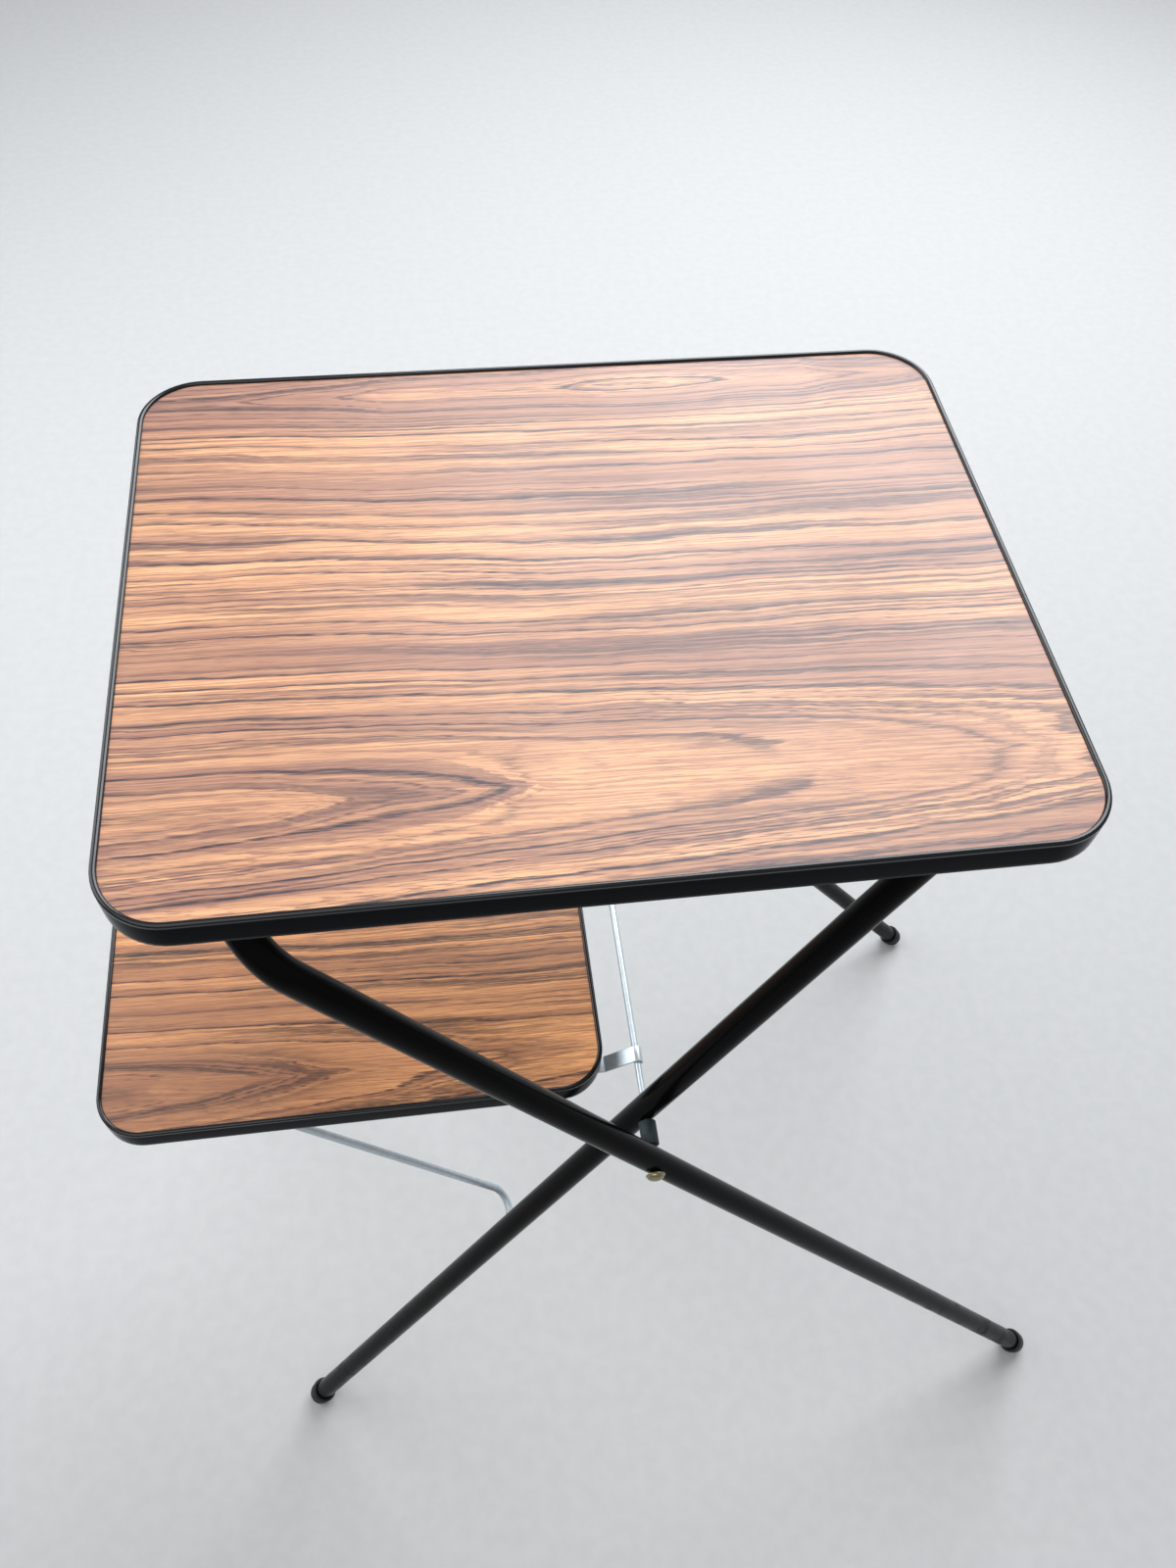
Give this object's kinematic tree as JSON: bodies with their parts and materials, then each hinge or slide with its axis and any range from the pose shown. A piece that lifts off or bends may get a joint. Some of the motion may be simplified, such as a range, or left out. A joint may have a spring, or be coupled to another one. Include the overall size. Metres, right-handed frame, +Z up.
{
  "type": "folding two-tier side table",
  "caption": "Folding two-tier side table with a wood-effect top, a smaller hanging shelf and a crossed black tubular frame on rubber feet.",
  "frame": {"origin": "middle of the table's bounding box in plan, on the floor", "axes": "+Z up, +X along the top's long side towards the outer frame's feet, +Y to the back, away from the viewer"},
  "size_m": [0.8476, 0.5382, 1],
  "materials": {
    "black_enamel": "satin",
    "foot_rubber": "matte",
    "zinc_plate": "satin",
    "brass_cap": "satin",
    "chipboard": "matte",
    "wood_laminate": "satin",
    "edging_plastic": "gloss",
    "sleeve_plastic": "matte"
  },
  "bodies": {
    "outer_frame": {"outer_frame_tube": "black_enamel", "outer_foot_near": "foot_rubber", "outer_foot_far": "foot_rubber", "pivot_rod": "zinc_plate", "spacer_sleeve_near": "sleeve_plastic", "rod_cap_near": "brass_cap", "spacer_sleeve_far": "sleeve_plastic", "rod_cap_far": "brass_cap"},
    "inner_frame": {"inner_frame_tube": "black_enamel", "inner_foot_near": "foot_rubber", "inner_foot_far": "foot_rubber"},
    "top": {"top_board": "chipboard", "top_laminate": "wood_laminate", "top_edging": "edging_plastic", "top_saddle_near": "zinc_plate", "stop_bracket_near": "zinc_plate", "top_saddle_screw_near_outer": "zinc_plate", "top_saddle_screw_near_inner": "zinc_plate", "stop_bracket_screw_near": "zinc_plate", "top_saddle_far": "zinc_plate", "stop_bracket_far": "zinc_plate", "top_saddle_screw_far_outer": "zinc_plate", "top_saddle_screw_far_inner": "zinc_plate", "stop_bracket_screw_far": "zinc_plate"},
    "shelf": {"shelf_board": "chipboard", "shelf_laminate": "wood_laminate", "shelf_edging": "edging_plastic", "shelf_hook_near": "zinc_plate", "bail_saddle_near": "zinc_plate", "shelf_hook_screw_near_1": "zinc_plate", "bail_saddle_screw_near_1": "zinc_plate", "shelf_hook_screw_near_2": "zinc_plate", "bail_saddle_screw_near_2": "zinc_plate", "shelf_hook_far": "zinc_plate", "bail_saddle_far": "zinc_plate", "shelf_hook_screw_far_1": "zinc_plate", "bail_saddle_screw_far_1": "zinc_plate", "shelf_hook_screw_far_2": "zinc_plate", "bail_saddle_screw_far_2": "zinc_plate"},
    "bail": {"bail_wire": "zinc_plate"}
  },
  "joints": [
    {"name": "leg_fold", "type": "hinge", "parent": "outer_frame", "child": "inner_frame", "pos_m": [-0.04229, 0, 0.64], "axis": [0, -1, 0], "range_deg": [0, 61.5]},
    {"name": "top_lift", "type": "hinge", "parent": "outer_frame", "child": "top", "pos_m": [-0.28029, 0, 0.9702], "axis": [0, -1, 0], "range_deg": [0, 123.5]},
    {"name": "shelf_fold", "type": "hinge", "parent": "inner_frame", "child": "shelf", "pos_m": [-0.04229, 0, 0.64], "axis": [0, -1, 0], "range_deg": [0, 64]},
    {"name": "bail_fold", "type": "hinge", "parent": "shelf", "child": "bail", "pos_m": [-0.29329, 0, 0.6271], "axis": [0, -1, 0], "range_deg": [0, 48]}
  ],
  "couplings": [
    {"joint": "top_lift", "follows": "leg_fold", "ratio": 2},
    {"joint": "shelf_fold", "follows": "leg_fold", "ratio": 1.03},
    {"joint": "bail_fold", "follows": "leg_fold", "ratio": 0.764}
  ]
}
